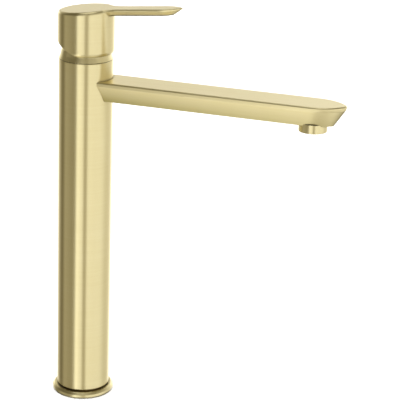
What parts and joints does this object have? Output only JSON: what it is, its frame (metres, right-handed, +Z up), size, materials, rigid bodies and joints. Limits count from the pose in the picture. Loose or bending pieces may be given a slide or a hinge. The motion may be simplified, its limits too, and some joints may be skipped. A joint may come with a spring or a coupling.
{
  "type": "bathroom mixer faucet",
  "caption": "Tall deck-mounted basin mixer with a round column, a long flat-topped spout and a cap handle with a flat lever.",
  "frame": {"origin": "where the column's axis meets the deck, at the underside of the base flange", "axes": "+Z up along the column's axis, +X along the spout towards its tip, +Y to the left of the spout"},
  "size_m": [0.2465, 0.0524, 0.3459],
  "materials": {
    "brushed_gold": "brushed champagne-gold plating over brass, satin",
    "raw_brass": "machined brass, plain",
    "copper_tube": "drawn copper tube",
    "seal_rubber": "matt black rubber",
    "cartridge_plastic": "light grey engineering plastic",
    "disc_ceramic": "ground white ceramic",
    "aerator_plastic": "pale grey plastic",
    "steel": "plain stainless steel",
    "water_tube": "milky plastic tube"
  },
  "bodies": {
    "faucet_body": {"column_tube": "brushed_gold", "base_flange": "brushed_gold", "spout_shell": "brushed_gold", "cartridge_dome": "brushed_gold", "aerator_housing": "brushed_gold", "base_insert": "raw_brass", "valve_body": "raw_brass", "retaining_nut": "raw_brass", "hot_riser": "copper_tube", "cold_riser": "copper_tube", "base_gasket": "seal_rubber", "riser_seals": "seal_rubber", "waterway_seals": "seal_rubber", "cartridge_seals": "seal_rubber", "aerator_washer": "seal_rubber", "cartridge_base": "cartridge_plastic", "cartridge_housing": "cartridge_plastic", "fixed_disc": "disc_ceramic", "aerator_insert": "aerator_plastic", "aerator_screen": "steel", "spout_waterway": "water_tube"},
    "rotor": {"cartridge_rotor": "cartridge_plastic", "spindle_pin": "steel"},
    "handle": {"lever_handle": "brushed_gold", "handle_grub_screw": "steel", "screw_plug": "brushed_gold", "cartridge_spindle": "raw_brass"},
    "disc": {"moving_disc": "disc_ceramic", "disc_carrier": "cartridge_plastic"}
  },
  "joints": [
    {"name": "handle_turn", "type": "hinge", "parent": "faucet_body", "child": "rotor", "pos_m": [0, 0, 0.3018], "axis": [0, 0, 1], "range_deg": [-50, 50]},
    {"name": "handle_lift", "type": "hinge", "parent": "rotor", "child": "handle", "pos_m": [0, 0, 0.3018], "axis": [0, -1, 0], "range_deg": [0, 24]},
    {"name": "disc_slide", "type": "slide", "parent": "rotor", "child": "disc", "axis": [1, 0, 0], "range_m": [0, 0.006]}
  ],
  "couplings": [
    {"joint": "disc_slide", "follows": "handle_lift", "m_per_rad": 0.01418}
  ]
}
